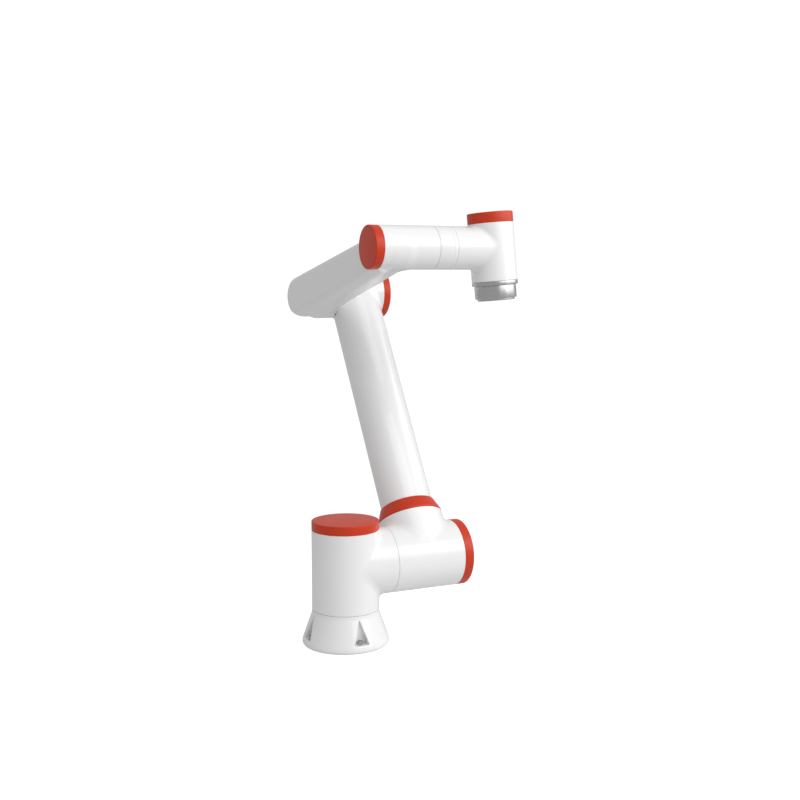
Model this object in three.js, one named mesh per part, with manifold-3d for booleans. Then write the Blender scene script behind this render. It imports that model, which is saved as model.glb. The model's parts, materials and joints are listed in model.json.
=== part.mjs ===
// Desktop robot arm: a bell-shaped base, five joint drives in T-shaped housings, two links and a tool flange.
// Millimetres, +Z up. The origin is the centre of the base's mounting face. +X runs along the three parallel
// pitch axes, from the forearm's side of the arm towards the lower arm's side.
import * as THREE from 'three';
import { mergeVertices } from 'three/addons/utils/BufferGeometryUtils.js';
import { ConvexGeometry } from 'three/addons/geometries/ConvexGeometry.js';
import Module from 'manifold-3d';

// ---- driving dimensions -------------------------------------------------------------------------------------

const GAP = 0.3;                  // clearance between touching pieces
const SEAM = 1.2;                 // width of the groove between two housings that turn on each other
const WALL = 5;                   // wall of the castings
const WEB = 6;                    // end wall that a drive's output bolts to
const WEB_HOLE = 16;              // cable hole through an end wall, radius

const BASE_RADIUS = 73.5;
const BASE_RIM_Z = 8;             // the flare runs from here up to its neck
const BASE_NECK_Z = 55;
const BASE_SEAM_Z = 60;
const BASE_SCREW_RADIUS = 62;     // pitch radius of the four mounting screws
const BASE_LEDGE_Z = 13;          // height of the ledge that each mounting screw clamps
const POCKET_BACK = 55;           // distance of each screw pocket's back wall from the axis
const SOCKET_Z = 24;              // height and direction of the cable socket
const SOCKET_TURN = Math.PI / 4;

const BIG = 57;                   // housing radius at the base and shoulder joints
const SHOULDER_TOP_Z = 195;
const SHOULDER_AXIS_Z = 135;
const SHOULDER_SEAM_X = 75;
const SHOULDER_CAP_X = 200;
const TOP_CAP = 15.5;             // cap thicknesses
const SIDE_CAP = 17;

const ARM_X = 139;                // plane of the lower arm
const ARM_LEAN = 33;              // degrees from upright, away from -Y
const ARM_LENGTH = 536;           // shoulder axis to elbow axis
const TUBE = 45.7;
const TUBE_WALL = 4.5;
const TUBE_START = 54;            // the tube's lower end, inside the shoulder housing's neck
const RING_START = 69;
const RING_END = 93;

const ELBOW = 46.5;               // housing radius at the elbow
const ELBOW_SEAM_X = 93;
const ELBOW_CAP_X = 185.2;
const ELBOW_CAP = 14;

const FOREARM_RISE = 13;          // degrees above level, towards -Y
const FOREARM_LENGTH = 356;       // elbow axis to wrist axis
const FOREARM_FACE_X = 17;        // the forearm's broad flat face, at the elbow
const FOREARM_WIDTH = 40;         // half the blade's width at the elbow
const FOREARM_DROP = 3;           // how far the blade's middle lies under the elbow's axis
const FOREARM_ROUND = 12;         // rounding between the flat face and the sides
const FOREARM_ROUND_DEPTH = 22;   // how far that rounding runs back
const DRUM_X = 52;                // where the round drum around the elbow starts

const SMALL = 36;                 // housing radius at the wrist pitch joint
const WRIST_CAP_X = 33.3;
const WRIST_SEAM_X = 132;
const SMALL_CAP = 15.5;

const WRIST_X = 248;              // axis of the wrist housing
const WRIST_LEAN = 2.4;           // degrees from upright, away from -Y
const POST_LEAN = 4.2;            // degrees that its top leans towards the pitch joint
const WRIST = 38.9;
const WRIST_TOP = 42;
const WRIST_BOTTOM = -55;
const WRIST_CAP = 18;
const BAND_BOTTOM = -62;
const FLANGE_BODY = 35.2;
const FLANGE_BODY_BOTTOM = -84;
const FLANGE_FACE = -87.5;
const FLANGE_RADIUS = 31.5;       // 63 mm face, four M6 holes on a 50 mm circle, 31.5 mm pilot
const FLANGE_PILOT = 15.75;
const PILOT_DEPTH = 6.5;
const FLANGE_HOLES = 25;

const DRIVE_BORE = 8;             // cable way through each drive, radius
const ROUND = 36;                 // facets round a housing
const ROUND_INSIDE = 12;          // facets round a piece that is out of sight

// ---- materials ----------------------------------------------------------------------------------------------

const finish = (color, roughness, metalness) => new THREE.MeshStandardMaterial({ color, roughness, metalness });
const MATERIALS = {
  white: finish(0xf2f2f2, 0.3, 0),
  orange: finish(0xd8492b, 0.4, 0),
  silver: finish(0xb9bbbd, 0.3, 0.9),
  steel: finish(0x8d9196, 0.35, 0.9),
  copper: finish(0xa8693c, 0.5, 0.6),
  board: finish(0x1f5c3a, 0.6, 0),
  rubber: finish(0x3a3b3d, 0.8, 0),
};

// ---- solids -------------------------------------------------------------------------------------------------

const wasm = await Module();
wasm.setup();

// Keeps only the merged positions, with the faces pointing out.
function closed(geometry) {
  for (const name of Object.keys(geometry.attributes)) if (name !== 'position') geometry.deleteAttribute(name);
  const merged = mergeVertices(geometry, 1e-4);
  const index = Array.from(merged.index.array);
  const at = merged.attributes.position;
  const corner = (i) => new THREE.Vector3().fromBufferAttribute(at, index[i]);
  const kept = [];
  let volume = 0;
  for (let i = 0; i < index.length; i += 3) {
    if (index[i] === index[i + 1] || index[i + 1] === index[i + 2] || index[i + 2] === index[i]) continue;
    kept.push(index[i], index[i + 1], index[i + 2]);
    volume += corner(i).dot(corner(i + 1).cross(corner(i + 2)));
  }
  if (volume < 0) kept.reverse();
  merged.setIndex(kept);
  return merged;
}

function solid(geometry) {
  const merged = closed(geometry);
  return new wasm.Manifold(new wasm.Mesh({
    numProp: 3,
    vertProperties: new Float32Array(merged.attributes.position.array),
    triVerts: new Uint32Array(merged.index.array),
  }));
}

function geometryOf(manifold) {
  const mesh = manifold.getMesh();
  const geometry = new THREE.BufferGeometry();
  geometry.setAttribute('position', new THREE.BufferAttribute(new Float32Array(mesh.vertProperties), 3));
  geometry.setIndex(new THREE.BufferAttribute(new Uint32Array(mesh.triVerts), 1));
  geometry.computeVertexNormals();
  return geometry;
}

const joined = (...pieces) => pieces.reduce((a, b) => a.add(b));
const cut = (body, ...tools) => tools.reduce((a, b) => a.subtract(b), body);

// A turned shape about Z from [radius, height] pairs that start and end on the axis or close on themselves.
function turned(profile, facets = ROUND) {
  const points = profile.map(([r, z]) => new THREE.Vector2(r, z));
  return new THREE.LatheGeometry(points, facets).rotateX(Math.PI / 2);
}

const rod = (radius, z0, z1, facets = ROUND) => turned([[0, z0], [radius, z0], [radius, z1], [0, z1]], facets);

function washer(outer, inner, z0, z1, facets = ROUND_INSIDE) {
  return turned([[inner, z0], [outer, z0], [outer, z1], [inner, z1], [inner, z0]], facets);
}

// Turns a shape made about Z so that its axis runs along +X.
const alongX = (geometry) => geometry.rotateY(Math.PI / 2);

// ---- scene graph --------------------------------------------------------------------------------------------

const arm = new THREE.Group();

function group(parent, x, y, z) {
  const child = new THREE.Group();
  child.position.set(x, y, z);
  parent.add(child);
  return child;
}

function add(parent, name, geometry, material) {
  const mesh = new THREE.Mesh(geometry, MATERIALS[material]);
  mesh.name = name;
  parent.add(mesh);
  return mesh;
}

const lean = (degrees) => THREE.MathUtils.degToRad(degrees);

const shoulder = group(arm, 0, 0, 0);
const lowerArm = group(shoulder, 0, 0, SHOULDER_AXIS_Z);
lowerArm.rotation.x = -lean(ARM_LEAN);
const elbow = group(lowerArm, 0, 0, ARM_LENGTH);
const forearm = group(elbow, 0, 0, 0);
forearm.rotation.x = lean(ARM_LEAN + 90 - FOREARM_RISE);
const wristPitch = group(forearm, 0, 0, FOREARM_LENGTH);
const wrist = group(wristPitch, 0, 0, 0);
wrist.rotation.x = -lean(90 - FOREARM_RISE + WRIST_LEAN);

// ---- base ---------------------------------------------------------------------------------------------------

const PLATE = 4;
const SCREW = 3;                  // thread and head radius of an M6 screw
const SCREW_HEAD = 5;
const SOCKET_BODY = 9;
const SOCKET_COLLAR = 13;
const SOCKET_SEAT_X = 65;         // the spot face that the socket's collar sits on, from the axis

// A triangular pocket in the flare, wide at its ledge, where a mounting screw stands.
function basePocket(turn) {
  const outline = new THREE.Shape();
  outline.moveTo(-13, BASE_LEDGE_Z);
  outline.lineTo(13, BASE_LEDGE_Z);
  outline.lineTo(1.5, BASE_NECK_Z - 7);
  outline.lineTo(-1.5, BASE_NECK_Z - 7);
  outline.closePath();
  const pocket = new THREE.ExtrudeGeometry(outline, { depth: 60, bevelEnabled: false });
  return solid(pocket.rotateX(Math.PI / 2).translate(0, -POCKET_BACK, 0).rotateZ(turn));
}

function baseCasting() {
  const outer = solid(turned([
    [0, 0], [BASE_RADIUS - 3.5, 0], [BASE_RADIUS - 1, 2.5], [BASE_RADIUS, BASE_RIM_Z - 2],
    [BASE_RADIUS - 0.3, BASE_RIM_Z + 1], [BIG + 0.7, BASE_NECK_Z - 1.5], [BIG, BASE_NECK_Z + 1],
    [BIG, BASE_SEAM_Z - SEAM], [0, BASE_SEAM_Z - SEAM],
  ]));
  const core = BIG - WALL - 3;
  const hollow = solid(rod(core, -1, BASE_SEAM_Z - SEAM - WEB));
  const hole = solid(rod(WEB_HOLE, BASE_SEAM_Z - SEAM - WEB - 1, BASE_SEAM_Z + 1, ROUND_INSIDE));
  const plateSeat = solid(rod(core + 4, -1, PLATE + GAP));
  const pockets = [];
  for (let i = 0; i < 4; i += 1) {
    const turn = i * Math.PI / 2;
    pockets.push(basePocket(turn));
    pockets.push(solid(rod(SCREW + 0.5, -1, BASE_LEDGE_Z + 1, 16).rotateZ(turn)
      .translate(BASE_SCREW_RADIUS * Math.sin(turn), -BASE_SCREW_RADIUS * Math.cos(turn), 0)));
  }
  const socketHole = solid(rod(SOCKET_BODY + 2 * GAP, core - 6, BASE_RADIUS + 5, 18).rotateY(Math.PI / 2)
    .translate(0, 0, SOCKET_Z).rotateZ(SOCKET_TURN));
  const socketSeat = solid(rod(SOCKET_COLLAR + 1, SOCKET_SEAT_X, BASE_RADIUS + 5, 18).rotateY(Math.PI / 2)
    .translate(0, 0, SOCKET_Z).rotateZ(SOCKET_TURN));
  return geometryOf(cut(outer, hollow, hole, plateSeat, socketHole, socketSeat, ...pockets));
}

// A round flanged connector for the arm's supply and control lead, with a shallow recessed face.
function cableSocket() {
  const nose = BASE_RADIUS + 1;
  const rim = SOCKET_BODY + 1;
  return turned([
    [0, BIG - 16], [SOCKET_BODY, BIG - 16], [SOCKET_BODY, SOCKET_SEAT_X + GAP],
    [SOCKET_COLLAR, SOCKET_SEAT_X + GAP], [SOCKET_COLLAR, SOCKET_SEAT_X + 2.5], [rim, SOCKET_SEAT_X + 2.5],
    [rim, nose], [rim - 2, nose], [rim - 2, nose - 3.5], [0, nose - 3.5],
  ], 18).rotateY(Math.PI / 2).translate(0, 0, SOCKET_Z).rotateZ(SOCKET_TURN);
}

// An M6 socket-head screw standing on a pocket's ledge.
function baseScrew(i) {
  const turn = i * Math.PI / 2;
  const z = BASE_LEDGE_Z + GAP;
  const head = z + 2 * SCREW;
  const screw = solid(turned([
    [0, 1], [SCREW, 1], [SCREW, z], [SCREW_HEAD, z], [SCREW_HEAD, head - 0.7], [SCREW_HEAD - 0.7, head], [0, head],
  ], 18));
  const key = solid(rod(2.9, head - SCREW, head + 1, 6));
  const x = BASE_SCREW_RADIUS * Math.sin(turn);
  const y = -BASE_SCREW_RADIUS * Math.cos(turn);
  return geometryOf(cut(screw, key)).translate(x, y, 0);
}

add(arm, 'base_casting', baseCasting(), 'white');
add(arm, 'base_plate', rod(BIG - WALL + 1 - GAP, 0, PLATE, ROUND), 'silver');
add(arm, 'base_cable_socket', cableSocket(), 'steel');
for (let i = 0; i < 4; i += 1) add(arm, `base_screw_${i + 1}`, baseScrew(i), 'steel');

// ---- joint drives -------------------------------------------------------------------------------------------

const GEAR = [11, 27];            // where each ring of a drive lies, from its seam
const ROTOR_START = 10;
const MOTOR_START = 30;
const BESIDE_MOTOR = 58;          // the part of a drive's length that the stator doesn't fill
const BRAKE_LENGTH = 9;
const BOARD_DEPTH = 13;           // from the cap down to the board
const BOARD_THICKNESS = 2;

// One drive, stacked along its group's +Z from the seam at z = 0 to the cap at z = length, in a bore of the
// given radius.
function drive(parent, name, bore, length) {
  const motorEnd = MOTOR_START + length - BESIDE_MOTOR;
  const brakeStart = motorEnd + 3;
  const boardStart = length - BOARD_DEPTH;
  const drum = bore * 0.52;
  const hub = bore * 0.55;
  const shaft = DRIVE_BORE + 3;
  const [gearStart, gearEnd] = GEAR;
  add(parent, `${name}_wave_gear`, washer(bore - GAP, bore * 0.6, gearStart, gearEnd), 'steel');
  add(parent, `${name}_stator`, washer(bore - 3, drum + 1, MOTOR_START, motorEnd), 'copper');
  add(parent, `${name}_rotor`, turned([
    [DRIVE_BORE, ROTOR_START], [hub, ROTOR_START], [hub, ROTOR_START + 5], [shaft, 20], [shaft, MOTOR_START + 1],
    [drum, MOTOR_START + 1], [drum, motorEnd - 1], [shaft, motorEnd - 1], [shaft, length - 9],
    [DRIVE_BORE, length - 9], [DRIVE_BORE, ROTOR_START],
  ], ROUND_INSIDE), 'steel');
  add(parent, `${name}_brake`, washer(bore - 8, shaft + 2, brakeStart, brakeStart + BRAKE_LENGTH), 'steel');
  add(parent, `${name}_board`, washer(bore - 2, shaft + 2, boardStart, boardStart + BOARD_THICKNESS), 'board');
}

// The plate that a drive turns, bolted to the end wall of the next link, just across the seam.
const outputFlange = (bore) => turned([
  [DRIVE_BORE, -SEAM + GAP], [bore - 4, -SEAM + GAP], [bore - 4, 3], [bore - 1, 3], [bore - 1, 8.5],
  [DRIVE_BORE, 8.5], [DRIVE_BORE, -SEAM + GAP],
], ROUND_INSIDE);

// A rubber lip seal in the groove between two housings.
const seal = (radius) => washer(radius - 1.2, radius - WALL + 0.4, -SEAM + GAP, -GAP, ROUND_INSIDE);

// A shallow cap over a drive's open end: a rounded disc with a spigot that centres it in the bore.
const cap = (radius, bore, thickness) => turned([
  [0, 3], [bore - 3, 3], [bore - 3, -4], [bore - GAP, -4], [bore - GAP, GAP], [radius, GAP],
  [radius, thickness - 2], [radius - 2, thickness], [0, thickness],
]);

// ---- shoulder: the housing that turns on the base -----------------------------------------------------------

const BIG_BORE = BIG - WALL;
const yawDrive = group(shoulder, 0, 0, BASE_SEAM_Z);

function shoulderHousing() {
  const reach = SHOULDER_SEAM_X - SEAM;
  const post = solid(rod(BIG, BASE_SEAM_Z, SHOULDER_TOP_Z));
  const branch = solid(alongX(rod(BIG, 0, reach)).translate(0, 0, SHOULDER_AXIS_Z));
  const bore = solid(rod(BIG_BORE, BASE_SEAM_Z - 1, SHOULDER_TOP_Z + 1));
  const branchBore = solid(alongX(rod(BIG_BORE, 0, reach - WEB)).translate(0, 0, SHOULDER_AXIS_Z));
  const hole = solid(alongX(rod(WEB_HOLE, 0, reach + 1, ROUND_INSIDE)).translate(0, 0, SHOULDER_AXIS_Z));
  return geometryOf(cut(joined(post, branch), bore, branchBore, hole));
}

add(shoulder, 'shoulder_housing', shoulderHousing(), 'white');
add(group(shoulder, 0, 0, SHOULDER_TOP_Z), 'shoulder_top_cap', cap(BIG, BIG_BORE, TOP_CAP), 'orange');
add(yawDrive, 'base_drive_output', outputFlange(BIG_BORE), 'silver');
add(yawDrive, 'base_drive_seal', seal(BIG), 'rubber');
drive(yawDrive, 'base_drive', BIG_BORE, SHOULDER_TOP_Z - BASE_SEAM_Z);

// ---- lower arm: shoulder joint housing, ring, tube with the elbow housing -----------------------------------

const shoulderDrive = group(lowerArm, SHOULDER_SEAM_X, 0, 0);
shoulderDrive.rotation.y = Math.PI / 2;

function lowerArmHousing() {
  const body = solid(alongX(rod(BIG, SHOULDER_SEAM_X, SHOULDER_CAP_X)));
  const neck = solid(rod(BIG, 0, RING_START - GAP).translate(ARM_X, 0, 0));
  const bore = solid(alongX(rod(BIG_BORE, SHOULDER_SEAM_X - 1, SHOULDER_CAP_X + 1)));
  const neckBore = solid(rod(TUBE + GAP, 0, RING_START + 1).translate(ARM_X, 0, 0));
  return geometryOf(cut(joined(body, neck), bore, neckBore));
}

function lowerArmTube() {
  const bore = ELBOW - TUBE_WALL;
  const tube = solid(rod(TUBE, TUBE_START, ARM_LENGTH).translate(ARM_X, 0, 0));
  const head = solid(alongX(rod(ELBOW, ELBOW_SEAM_X, ELBOW_CAP_X)).translate(0, 0, ARM_LENGTH));
  const tubeBore = solid(rod(TUBE - TUBE_WALL, TUBE_START - 1, ARM_LENGTH).translate(ARM_X, 0, 0));
  const headBore = solid(alongX(rod(bore, ELBOW_SEAM_X - 1, ELBOW_CAP_X + 1)).translate(0, 0, ARM_LENGTH));
  return geometryOf(cut(joined(tube, head), tubeBore, headBore));
}

// The tapered trim ring that closes the step from the housing's neck to the tube.
const ring = turned([
  [TUBE + GAP, RING_START], [BIG, RING_START], [BIG, RING_START + 3], [TUBE + 2.5, RING_END - 0.8],
  [TUBE + 1.6, RING_END], [TUBE + GAP, RING_END], [TUBE + GAP, RING_START],
]).translate(ARM_X, 0, 0);

function harness(x0, x1, z0, z1) {
  const route = new THREE.CatmullRomCurve3([
    new THREE.Vector3(x0, 0, z0),
    new THREE.Vector3(x0 + 6, 5, z0 + (z1 - z0) * 0.3),
    new THREE.Vector3(x1 - 6, -5, z0 + (z1 - z0) * 0.7),
    new THREE.Vector3(x1, 0, z1),
  ]);
  const section = new THREE.Shape().absarc(0, 0, 6, 0, 2 * Math.PI);
  const options = { steps: 16, curveSegments: 5, bevelEnabled: false, extrudePath: route };
  return new THREE.ExtrudeGeometry(section, options);
}

add(lowerArm, 'lower_arm_housing', lowerArmHousing(), 'white');
add(lowerArm, 'lower_arm_ring', ring, 'orange');
add(lowerArm, 'lower_arm_tube', lowerArmTube(), 'white');
add(lowerArm, 'lower_arm_harness', geometryOf(solid(harness(ARM_X, ARM_X, 62, 485))), 'rubber');
const shoulderCap = group(lowerArm, SHOULDER_CAP_X, 0, 0);
shoulderCap.rotation.y = Math.PI / 2;
add(shoulderCap, 'shoulder_side_cap', cap(BIG, BIG_BORE, SIDE_CAP), 'orange');
add(shoulderDrive, 'shoulder_drive_output', outputFlange(BIG_BORE), 'silver');
add(shoulderDrive, 'shoulder_drive_seal', seal(BIG), 'rubber');
drive(shoulderDrive, 'shoulder_drive', BIG_BORE, SHOULDER_CAP_X - SHOULDER_SEAM_X);

// ---- elbow --------------------------------------------------------------------------------------------------

const ELBOW_BORE = ELBOW - TUBE_WALL;
const elbowDrive = group(elbow, ELBOW_SEAM_X, 0, 0);
elbowDrive.rotation.y = Math.PI / 2;
const elbowCap = group(elbow, ELBOW_CAP_X, 0, 0);
elbowCap.rotation.y = Math.PI / 2;
add(elbowCap, 'elbow_cap', cap(ELBOW, ELBOW_BORE, ELBOW_CAP), 'orange');
add(elbowDrive, 'elbow_drive_output', outputFlange(ELBOW_BORE), 'silver');
add(elbowDrive, 'elbow_drive_seal', seal(ELBOW), 'rubber');
drive(elbowDrive, 'elbow_drive', ELBOW_BORE, ELBOW_CAP_X - ELBOW_SEAM_X);

// ---- forearm: one casting from the elbow's output to the wrist pitch housing --------------------------------

// Points round a circle about an axis parallel to X, through y and z.
function circle(x, radius, y, z, facets = 36) {
  const points = [];
  for (let i = 0; i < facets; i += 1) {
    const turn = 2 * Math.PI * i / facets;
    points.push(new THREE.Vector3(x, y + radius * Math.cos(turn), z + radius * Math.sin(turn)));
  }
  return points;
}

// The forearm's blade: both ends round, widening to a drum at the elbow, its outer edge well rounded.
function blade(inset) {
  const face = FOREARM_FACE_X + inset;
  const back = ELBOW_SEAM_X - SEAM - (inset ? WEB : 0);
  const points = [];
  for (const angle of [0, 30, 60, 90]) {
    const turn = lean(angle);
    const x = face + FOREARM_ROUND_DEPTH * (1 - Math.sin(turn));
    const radius = FOREARM_WIDTH - inset - FOREARM_ROUND * (1 - Math.cos(turn));
    points.push(...circle(x, radius, -FOREARM_DROP, 0));
  }
  points.push(...circle(DRUM_X, ELBOW - inset, 0, 0));
  points.push(...circle(back, ELBOW - inset, 0, 0));
  points.push(...circle(WRIST_CAP_X + (inset ? 3 * inset : 0), SMALL - inset, 0, FOREARM_LENGTH));
  points.push(...circle(back, SMALL - inset, 0, FOREARM_LENGTH));
  return solid(new ConvexGeometry(points));
}

const SMALL_BORE = SMALL - 4.4;

function forearmCasting() {
  const barrel = solid(alongX(rod(SMALL, WRIST_CAP_X, WRIST_SEAM_X)).translate(0, 0, FOREARM_LENGTH));
  const bore = solid(alongX(rod(SMALL_BORE, WRIST_CAP_X - 1, WRIST_SEAM_X + 1)).translate(0, 0, FOREARM_LENGTH));
  const seat = solid(alongX(rod(SMALL + 2 * GAP, 0, WRIST_CAP_X)).translate(0, 0, FOREARM_LENGTH));
  const hole = solid(alongX(rod(WEB_HOLE, ELBOW_SEAM_X - 20, ELBOW_SEAM_X, ROUND_INSIDE)));
  return geometryOf(cut(joined(blade(0), barrel), blade(WALL), bore, seat, hole));
}

const FOREARM_HARNESS_X = 60;
const forearmCap = group(wristPitch, WRIST_CAP_X, 0, 0);
forearmCap.rotation.y = -Math.PI / 2;
const wristDrive = group(wristPitch, WRIST_SEAM_X, 0, 0);
wristDrive.rotation.y = -Math.PI / 2;
add(forearm, 'forearm_casting', forearmCasting(), 'white');
add(forearm, 'forearm_harness', geometryOf(solid(harness(FOREARM_HARNESS_X, FOREARM_HARNESS_X, 15, 318))), 'rubber');
add(forearmCap, 'forearm_cap', cap(SMALL, SMALL_BORE, SMALL_CAP), 'orange');
add(wristDrive, 'wrist_drive_output', outputFlange(SMALL_BORE), 'silver');
add(wristDrive, 'wrist_drive_seal', seal(SMALL), 'rubber');
drive(wristDrive, 'wrist_drive', SMALL_BORE, WRIST_SEAM_X - WRIST_CAP_X);

// ---- wrist --------------------------------------------------------------------------------------------------

const WRIST_BORE = WRIST - 4.4;

const alongPost = (geometry) => geometry.rotateY(-lean(POST_LEAN)).translate(WRIST_X, 0, 0);

function wristHousing() {
  const start = WRIST_SEAM_X + SEAM;
  const branch = solid(alongX(rod(SMALL, start, WRIST_X)));
  const post = solid(alongPost(rod(WRIST, WRIST_BOTTOM, WRIST_TOP)));
  const branchBore = solid(alongX(rod(SMALL_BORE, start + WEB, WRIST_X)));
  const hole = solid(alongX(rod(WEB_HOLE, start - 1, WRIST_X, ROUND_INSIDE)));
  const bore = solid(alongPost(rod(WRIST_BORE, WRIST_BOTTOM - 1, WRIST_TOP + 1)));
  return geometryOf(cut(joined(branch, post), branchBore, hole, bore));
}

const wristPost = group(wrist, WRIST_X, 0, 0);
wristPost.rotation.y = -lean(POST_LEAN);
const flangeDrive = group(wristPost, 0, 0, WRIST_BOTTOM);
add(wrist, 'wrist_housing', wristHousing(), 'white');
add(group(wristPost, 0, 0, WRIST_TOP), 'wrist_cap', cap(WRIST, WRIST_BORE, WRIST_CAP), 'orange');
add(wristPost, 'wrist_band', washer(WRIST, WRIST_BORE - 4, BAND_BOTTOM, WRIST_BOTTOM - GAP, ROUND), 'silver');
drive(flangeDrive, 'flange_drive', WRIST_BORE, WRIST_TOP - WRIST_BOTTOM);

// ---- tool flange --------------------------------------------------------------------------------------------

// The turning stub that carries the tool flange, inside the wrist's end.
const hub = WRIST_BORE - 4.6;
const flangeOutput = washer(hub, DRIVE_BORE, BAND_BOTTOM, WRIST_BOTTOM + 8.5, 24);

function toolFlange() {
  const start = BAND_BOTTOM - GAP;
  const pilotFloor = FLANGE_FACE + PILOT_DEPTH;
  const body = solid(turned([
    [0, start], [FLANGE_BODY, start], [FLANGE_BODY, FLANGE_BODY_BOTTOM + 1], [FLANGE_BODY - 1, FLANGE_BODY_BOTTOM],
    [FLANGE_RADIUS, FLANGE_BODY_BOTTOM], [FLANGE_RADIUS, FLANGE_FACE + 0.6], [FLANGE_RADIUS - 0.6, FLANGE_FACE],
    [FLANGE_PILOT, FLANGE_FACE], [FLANGE_PILOT, pilotFloor], [0, pilotFloor],
  ]));
  const holes = [45, 135, 225, 315].map((angle) => {
    const x = FLANGE_HOLES * Math.cos(lean(angle));
    const y = FLANGE_HOLES * Math.sin(lean(angle));
    return solid(rod(3, FLANGE_FACE - 1, FLANGE_FACE + 8, 16).translate(x, y, 0));
  });
  const pinHole = solid(rod(3, FLANGE_FACE - 1, FLANGE_FACE + 6, 16).translate(FLANGE_HOLES, 0, 0));
  return geometryOf(cut(body, ...holes, pinHole));
}

add(wristPost, 'flange_drive_output', flangeOutput, 'silver');
add(wristPost, 'tool_flange', toolFlange(), 'silver');

export default arm;
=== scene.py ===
"""Looks of the desktop robot arm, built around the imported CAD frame. Metres, +Z up.

The castings are made as smooth closed skins: a distance field describes each one, with fillets where its
barrels meet, and a mesh is drawn on the field's surface. Turned pieces are turned from fine profiles.
"""
import json
import math

import bmesh
import bpy
import numpy as np
from mathutils import Matrix, Vector


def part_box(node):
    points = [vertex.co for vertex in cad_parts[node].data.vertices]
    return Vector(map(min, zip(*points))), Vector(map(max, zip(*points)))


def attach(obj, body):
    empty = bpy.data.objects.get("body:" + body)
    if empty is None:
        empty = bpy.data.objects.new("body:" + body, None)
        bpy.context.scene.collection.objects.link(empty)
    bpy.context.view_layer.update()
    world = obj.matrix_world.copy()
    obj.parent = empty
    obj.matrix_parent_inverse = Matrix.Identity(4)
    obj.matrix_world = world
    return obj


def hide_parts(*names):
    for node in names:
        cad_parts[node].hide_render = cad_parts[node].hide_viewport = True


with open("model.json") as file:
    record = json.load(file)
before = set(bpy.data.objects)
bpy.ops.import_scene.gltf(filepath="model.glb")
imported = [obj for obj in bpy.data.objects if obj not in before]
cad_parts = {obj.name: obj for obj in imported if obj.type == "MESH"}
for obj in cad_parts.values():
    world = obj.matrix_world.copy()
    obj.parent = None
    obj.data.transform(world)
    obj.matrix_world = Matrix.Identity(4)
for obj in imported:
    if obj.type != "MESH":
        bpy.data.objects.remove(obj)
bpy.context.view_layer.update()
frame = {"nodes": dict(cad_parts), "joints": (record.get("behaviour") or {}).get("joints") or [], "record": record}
joints = {joint["name"]: joint for joint in frame["joints"]}

MM = 0.001

# ---- sizes ---------------------------------------------------------------------------------------


def size_of(node):
    """A node's lowest corner, highest corner and extent at rest, as three vectors."""
    low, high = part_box(node)
    return Vector(low), Vector(high), Vector(high) - Vector(low)


BIG = size_of("shoulder_top_cap")[2].x / 2        # housing radius at the base and the shoulder
ELBOW = size_of("elbow_cap")[2].z / 2
SMALL = size_of("forearm_cap")[2].z / 2           # wrist pitch housing
WRIST = size_of("wrist_band")[2].y / 2 - 0.2 * MM
BASE = size_of("base_casting")[2].x / 2
TUBE = 45.7 * MM
WALL = 5 * MM
LIP = 0.5 * MM                                    # rounding where a casting ends at a seam
FINE_LIP = 0.2 * MM
GAP = 0.3 * MM

WRIST_TOP = 42 * MM
WRIST_BOTTOM = -55 * MM
ARM_X = (size_of("lower_arm_ring")[0].x + size_of("lower_arm_ring")[1].x) / 2
POST_AXIS = Vector(joints["flange_turn"]["axis"])
SEAM = 0.55 * MM                                  # the visible line between two housings
SHOULDER_SEAM_X = size_of("lower_arm_housing")[0].x
SHOULDER_CAP_X = size_of("lower_arm_housing")[1].x
ELBOW_SEAM_X = joints["elbow_pitch"]["pos_m"][0]
WRIST_SEAM_X = joints["wrist_pitch"]["pos_m"][0]

TOP_CAP = size_of("shoulder_top_cap")[1].z - size_of("shoulder_housing")[1].z
SIDE_CAP = size_of("shoulder_side_cap")[1].x - SHOULDER_CAP_X
ELBOW_CAP = 14 * MM
SMALL_CAP = 15.5 * MM
WRIST_CAP = 17.9 * MM
ELBOW_CAP_X = size_of("elbow_cap")[1].x - ELBOW_CAP
WRIST_CAP_X = size_of("forearm_cap")[0].x + SMALL_CAP

BASE_SEAM_Z = joints["base_turn"]["pos_m"][2]
SHOULDER_TOP_Z = size_of("shoulder_housing")[1].z
SHOULDER_AXIS_Z = joints["shoulder_pitch"]["pos_m"][2]

# ---- the links' own frames -----------------------------------------------------------------------


def in_plane(point):
    """The same point moved to x = 0."""
    return Vector((0, point[1], point[2]))


def link_place(origin, direction):
    """The place of a link: its Z runs along direction and its X is the row's X."""
    z = direction.normalized()
    x = Vector((1, 0, 0))
    turn = Matrix((x, z.cross(x), z)).transposed().to_4x4()
    return Matrix.Translation(origin) @ turn


shoulder_at = in_plane(joints["shoulder_pitch"]["pos_m"])
elbow_at = in_plane(joints["elbow_pitch"]["pos_m"])
wrist_at = in_plane(joints["wrist_pitch"]["pos_m"])
ARM_LENGTH = (elbow_at - shoulder_at).length
FOREARM_LENGTH = (wrist_at - elbow_at).length
ROW = Matrix.Identity(4)
LOWER = link_place(shoulder_at, elbow_at - shoulder_at)
FOREARM = link_place(elbow_at, wrist_at - elbow_at)
WRIST_PLACE = link_place(wrist_at, in_plane(POST_AXIS))

# The wrist's post stands a few degrees out of square with the row's X, about a point on the wrist axis.
post_seam = Vector(joints["flange_turn"]["pos_m"])
WRIST_X = (post_seam + POST_AXIS * (wrist_at.z - post_seam.z) / POST_AXIS.z).x
POST_TILT = math.asin(POST_AXIS.x)
POST = WRIST_PLACE @ Matrix.Translation((WRIST_X, 0, 0)) @ Matrix.Rotation(POST_TILT, 4, "Y")

# ---- camera --------------------------------------------------------------------------------------

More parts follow.
